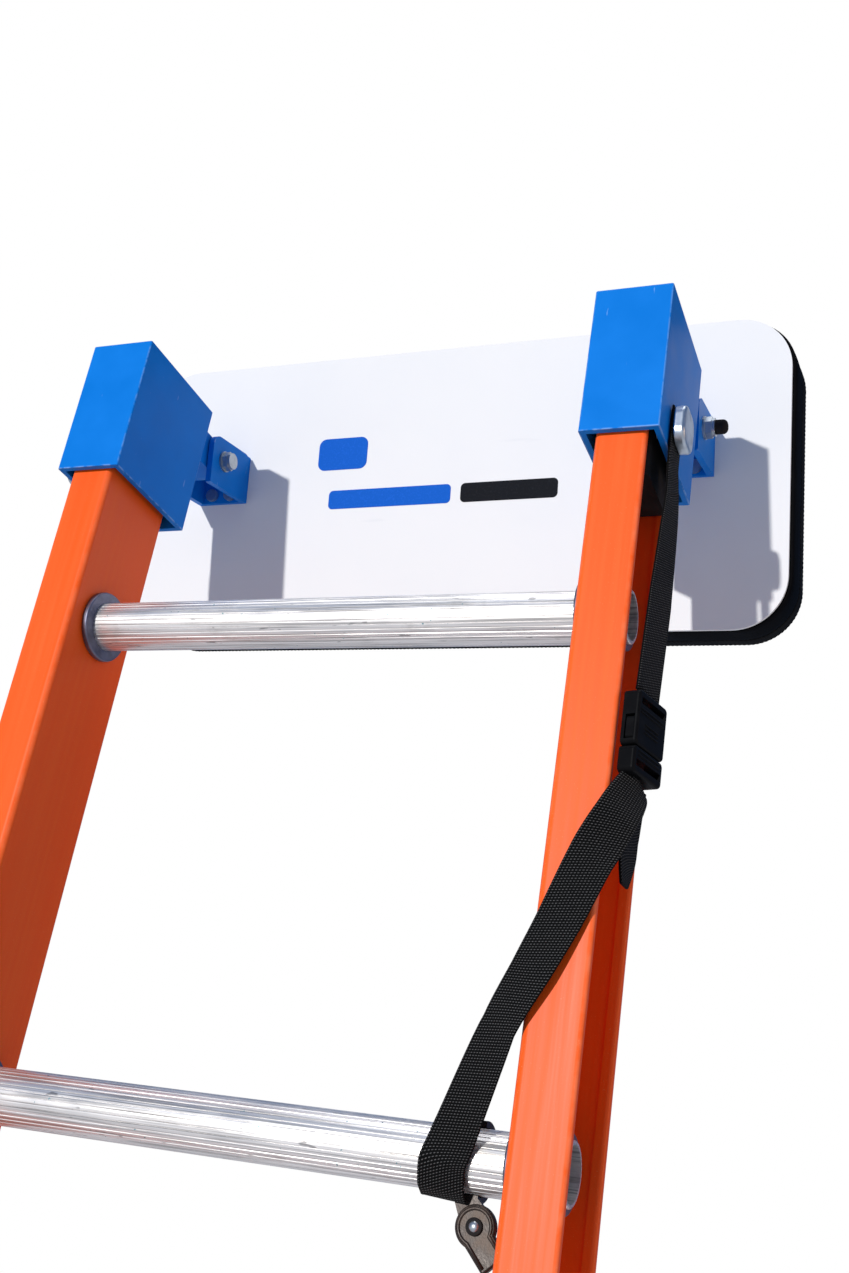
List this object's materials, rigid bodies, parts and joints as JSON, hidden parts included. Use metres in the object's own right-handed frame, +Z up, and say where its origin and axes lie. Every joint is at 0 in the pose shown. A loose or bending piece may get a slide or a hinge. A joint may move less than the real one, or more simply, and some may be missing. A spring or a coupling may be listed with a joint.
{
  "type": "extension ladder",
  "caption": "Two-section fibreglass extension ladder with swivel shoes, rail caps, a tilting wall pad and a safety strap.",
  "frame": {"origin": "on the floor, in the middle of the outline in plan", "axes": "+Z up along the rails, +X to the climber's right, +Y away from the climber towards the wall"},
  "size_m": [0.525, 0.246, 3.5292],
  "materials": {
    "fibreglass": "satin orange fibreglass with pale worn edges",
    "rung_aluminium": "mill finish with fine lengthwise flutes",
    "collar_aluminium": "dull swaged ring",
    "guide_aluminium": "plain extruded",
    "zinc_steel": "zinc plated",
    "cap_blue": "satin blue powder coat",
    "board_white": "smooth white sheet",
    "foam_black": "smooth closed cell foam",
    "ribbed_rubber": "ribbed rubber",
    "webbing": "woven black polypropylene",
    "buckle_plastic": "moulded black",
    "bronze_steel": "dark bronze coated steel",
    "block_rubber": "moulded black",
    "knob_metal": "satin cast",
    "pulley_plastic": "moulded black nylon",
    "shoe_metal": "cast",
    "tread_rubber": "grooved tread"
  },
  "bodies": {
    "base": {"base_rail_left": "fibreglass", "base_rail_right": "fibreglass", "base_rungs": "rung_aluminium", "base_collars": "collar_aluminium", "base_guide_left": "guide_aluminium", "base_guide_right": "guide_aluminium", "base_rivets": "zinc_steel", "pulley_bracket": "zinc_steel", "pulley_pin": "zinc_steel", "shoe_bolts": "zinc_steel"},
    "pulley": {"pulley_sheave": "pulley_plastic"},
    "shoe_left": {"shoe_left": "shoe_metal", "shoe_tread_left": "tread_rubber"},
    "shoe_right": {"shoe_right": "shoe_metal", "shoe_tread_right": "tread_rubber"},
    "lock_left": {"lock_hook_left": "zinc_steel"},
    "lock_right": {"lock_hook_right": "zinc_steel"},
    "knob_left": {"knob_left": "knob_metal"},
    "knob_right": {"knob_right": "knob_metal"},
    "pad": {"pad_board": "board_white", "pad_foam": "foam_black", "pad_rubber": "ribbed_rubber", "pad_bracket_left": "cap_blue", "pad_bracket_right": "cap_blue", "pad_screws": "zinc_steel", "pivot_bolts": "zinc_steel", "pivot_nuts": "zinc_steel", "thread_cap": "block_rubber"},
    "prong_front": {"buckle_prong_front": "buckle_plastic"},
    "prong_rear": {"buckle_prong_rear": "buckle_plastic"},
    "hook_latch": {"hook_latch": "bronze_steel"},
    "fly": {"fly_rail_left": "fibreglass", "fly_rail_right": "fibreglass", "fly_rung_1": "rung_aluminium", "fly_rung_2": "rung_aluminium", "fly_rung_3": "rung_aluminium", "fly_rung_4": "rung_aluminium", "fly_rung_5": "rung_aluminium", "fly_rung_6": "rung_aluminium", "fly_rung_7": "rung_aluminium", "fly_rung_8": "rung_aluminium", "fly_collars": "collar_aluminium", "fly_guide_left": "guide_aluminium", "fly_guide_right": "guide_aluminium", "fly_rivets": "zinc_steel", "lock_bracket_left": "zinc_steel", "lock_bracket_right": "zinc_steel", "lock_pins": "zinc_steel", "lock_springs": "zinc_steel", "cap_left": "cap_blue", "cap_right": "cap_blue", "cap_tongues": "cap_blue", "clamp_blocks": "block_rubber", "strap_upper": "webbing", "strap_lower": "webbing", "strap_tail": "webbing", "buckle_body": "buckle_plastic", "buckle_insert": "buckle_plastic", "rung_hook": "bronze_steel", "hook_rivet": "zinc_steel"}
  },
  "joints": [
    {"name": "fly_extend", "type": "slide", "parent": "base", "child": "fly", "axis": [0, 0, 1], "range_m": [-0.6096, 0.3048]},
    {"name": "pad_tilt", "type": "hinge", "parent": "fly", "child": "pad", "pos_m": [0, 0.00513, 3.4164], "axis": [1, 0, 0], "range_deg": [-35, 35]},
    {"name": "lock_left_swing", "type": "hinge", "parent": "fly", "child": "lock_left", "pos_m": [-0.15875, -0.05487, 1.1638], "axis": [1, 0, 0], "range_deg": [-142, 0]},
    {"name": "lock_right_swing", "type": "hinge", "parent": "fly", "child": "lock_right", "pos_m": [0.15875, -0.05487, 1.1638], "axis": [1, 0, 0], "range_deg": [-142, 0]},
    {"name": "shoe_left_swivel", "type": "hinge", "parent": "base", "child": "shoe_left", "pos_m": [-0.20575, -0.00127, 0.064], "axis": [1, 0, 0], "range_deg": [-30, 75]},
    {"name": "shoe_right_swivel", "type": "hinge", "parent": "base", "child": "shoe_right", "pos_m": [0.20575, -0.00127, 0.064], "axis": [1, 0, 0], "range_deg": [-30, 75]},
    {"name": "pulley_spin", "type": "hinge", "parent": "base", "child": "pulley", "pos_m": [0, -0.00127, 2.256], "axis": [1, 0, 0], "continuous": true},
    {"name": "knob_left_turn", "type": "hinge", "parent": "fly", "child": "knob_left", "pos_m": [-0.217, -0.08787, 3.3524], "axis": [1, 0, 0], "continuous": true},
    {"name": "knob_right_turn", "type": "hinge", "parent": "fly", "child": "knob_right", "pos_m": [0.217, -0.08787, 3.3524], "axis": [1, 0, 0], "continuous": true},
    {"name": "hook_latch_swing", "type": "hinge", "parent": "fly", "child": "hook_latch", "pos_m": [0.151, -0.08487, 2.8971], "axis": [0, 1, 0], "range_deg": [0, 120]},
    {"name": "prong_front_squeeze", "type": "slide", "parent": "fly", "child": "prong_front", "axis": [0.2588, 0.9659, 0], "range_m": [0, 0.002], "stiffness_N_per_m": 400},
    {"name": "prong_rear_squeeze", "type": "slide", "parent": "fly", "child": "prong_rear", "axis": [-0.2588, -0.9659, 0], "range_m": [0, 0.002], "stiffness_N_per_m": 400}
  ]
}
